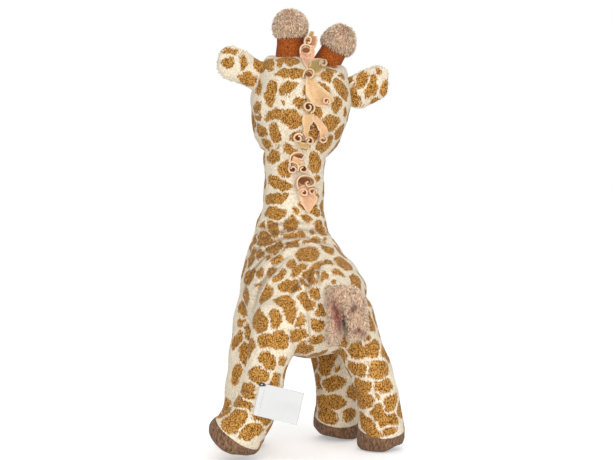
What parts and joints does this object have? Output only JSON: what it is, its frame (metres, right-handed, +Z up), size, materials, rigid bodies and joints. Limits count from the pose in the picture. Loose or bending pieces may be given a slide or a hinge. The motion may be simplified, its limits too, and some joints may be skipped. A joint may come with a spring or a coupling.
{
  "type": "plush giraffe",
  "caption": "Standing plush giraffe with spotted short-pile covers over fibre stuffing, felt mane curls, horns, flopping ears, hanging tail and a care label.",
  "frame": {"origin": "centre of the toy's box at the ground it stands on", "axes": "+Z up; the giraffe faces -Y and its left side is +X"},
  "size_m": [0.1544, 0.1538, 0.3018],
  "materials": {
    "spotted_plush": "short-pile printed plush",
    "muzzle_plush": "short-pile plush",
    "fleece_white": "long-pile fleece",
    "fleece_taupe": "long-pile fleece",
    "hoof_plush": "short-pile plush",
    "ribbed_rust": "ribbed velour",
    "felt_peach": "felt",
    "fibre_stuffing": "loose polyester fibre",
    "eye_plastic": "gloss",
    "washer_plastic": "satin",
    "thread_brown": "embroidery thread",
    "label_tape": "woven tape"
  },
  "bodies": {
    "trunk": {"trunk_skin": "spotted_plush", "trunk_stuffing": "fibre_stuffing"},
    "neck": {"neck_skin": "spotted_plush", "neck_stuffing": "fibre_stuffing", "mane_neck_1": "felt_peach", "mane_neck_2": "felt_peach", "mane_neck_3": "felt_peach", "mane_neck_4": "felt_peach"},
    "head": {"head_skin": "spotted_plush", "head_stuffing": "fibre_stuffing", "muzzle_skin": "muzzle_plush", "muzzle_stuffing": "fibre_stuffing", "nostril_left": "thread_brown", "nostril_right": "thread_brown", "mouth_stitch": "thread_brown", "eye_left": "eye_plastic", "eye_right": "eye_plastic", "eye_washer_left": "washer_plastic", "eye_washer_right": "washer_plastic", "mane_head_1": "felt_peach", "mane_head_2": "felt_peach", "mane_head_3": "felt_peach", "mane_head_4": "felt_peach", "mane_head_5": "felt_peach", "mane_head_6": "felt_peach"},
    "tail": {"tail_roll": "fleece_taupe", "tail_root": "fleece_taupe"},
    "label": {"care_label": "label_tape"},
    "ear_left": {"ear_left_back": "spotted_plush", "ear_left_lining": "fleece_white"},
    "horn_left": {"horn_left_stem": "ribbed_rust", "horn_left_stuffing": "fibre_stuffing", "horn_left_ball": "fleece_taupe"},
    "ear_right": {"ear_right_back": "spotted_plush", "ear_right_lining": "fleece_white"},
    "horn_right": {"horn_right_stem": "ribbed_rust", "horn_right_stuffing": "fibre_stuffing", "horn_right_ball": "fleece_taupe"},
    "leg_front_left": {"leg_front_left_skin": "spotted_plush", "leg_front_left_hoof": "hoof_plush", "leg_front_left_stuffing": "fibre_stuffing"},
    "leg_front_right": {"leg_front_right_skin": "spotted_plush", "leg_front_right_hoof": "hoof_plush", "leg_front_right_stuffing": "fibre_stuffing"},
    "leg_rear_left": {"leg_rear_left_skin": "spotted_plush", "leg_rear_left_hoof": "hoof_plush", "leg_rear_left_stuffing": "fibre_stuffing"},
    "leg_rear_right": {"leg_rear_right_skin": "spotted_plush", "leg_rear_right_hoof": "hoof_plush", "leg_rear_right_stuffing": "fibre_stuffing"}
  },
  "joints": [
    {"name": "neck_bend", "type": "hinge", "parent": "trunk", "child": "neck", "pos_m": [-0.00147, -0.01222, 0.15], "axis": [1, 0, 0], "range_deg": [-12, 12], "stiffness_Nm_per_rad": 0.3},
    {"name": "head_nod", "type": "hinge", "parent": "neck", "child": "head", "pos_m": [-0.00498, -0.01622, 0.197], "axis": [1, 0, 0], "range_deg": [-14, 14], "stiffness_Nm_per_rad": 0.3},
    {"name": "ear_left_flop", "type": "hinge", "parent": "head", "child": "ear_left", "pos_m": [0.01462, -0.02678, 0.25502], "axis": [-0.3529, 0.0622, 0.9336], "range_deg": [-18, 18], "stiffness_Nm_per_rad": 0.01},
    {"name": "ear_right_flop", "type": "hinge", "parent": "head", "child": "ear_right", "pos_m": [-0.0442, -0.01641, 0.24303], "axis": [0.2549, -0.0449, 0.9659], "range_deg": [-18, 18], "stiffness_Nm_per_rad": 0.01},
    {"name": "horn_left_sway", "type": "hinge", "parent": "head", "child": "horn_left", "pos_m": [-0.00442, -0.02444, 0.26379], "axis": [0.1736, 0.9848, 0], "range_deg": [-8, 8], "stiffness_Nm_per_rad": 0.05},
    {"name": "horn_right_sway", "type": "hinge", "parent": "head", "child": "horn_right", "pos_m": [-0.02854, -0.02019, 0.2599], "axis": [0.1736, 0.9848, 0], "range_deg": [-8, 8], "stiffness_Nm_per_rad": 0.05},
    {"name": "leg_front_left_swing", "type": "hinge", "parent": "trunk", "child": "leg_front_left", "pos_m": [0.02353, -0.01122, 0.092], "axis": [-1, 0, 0], "range_deg": [-8, 16], "stiffness_Nm_per_rad": 0.4},
    {"name": "leg_front_right_swing", "type": "hinge", "parent": "trunk", "child": "leg_front_right", "pos_m": [-0.02647, -0.01122, 0.092], "axis": [-1, 0, 0], "range_deg": [-8, 16], "stiffness_Nm_per_rad": 0.4},
    {"name": "leg_rear_left_swing", "type": "hinge", "parent": "trunk", "child": "leg_rear_left", "pos_m": [0.02753, 0.04178, 0.092], "axis": [-1, 0, 0], "range_deg": [-10, 8], "stiffness_Nm_per_rad": 0.4},
    {"name": "leg_rear_right_swing", "type": "hinge", "parent": "trunk", "child": "leg_rear_right", "pos_m": [-0.02397, 0.04178, 0.092], "axis": [-1, 0, 0], "range_deg": [-10, 8], "stiffness_Nm_per_rad": 0.4},
    {"name": "tail_lift", "type": "hinge", "parent": "trunk", "child": "tail", "pos_m": [-0.00447, 0.05468, 0.111], "axis": [1, 0, 0], "range_deg": [0, 40]},
    {"name": "label_turn", "type": "hinge", "parent": "leg_rear_left", "child": "label", "pos_m": [0.05416, 0.0626, 0.04], "axis": [0.1146, -0.0417, -0.9925], "range_deg": [0, 60], "stiffness_Nm_per_rad": 0.004}
  ]
}
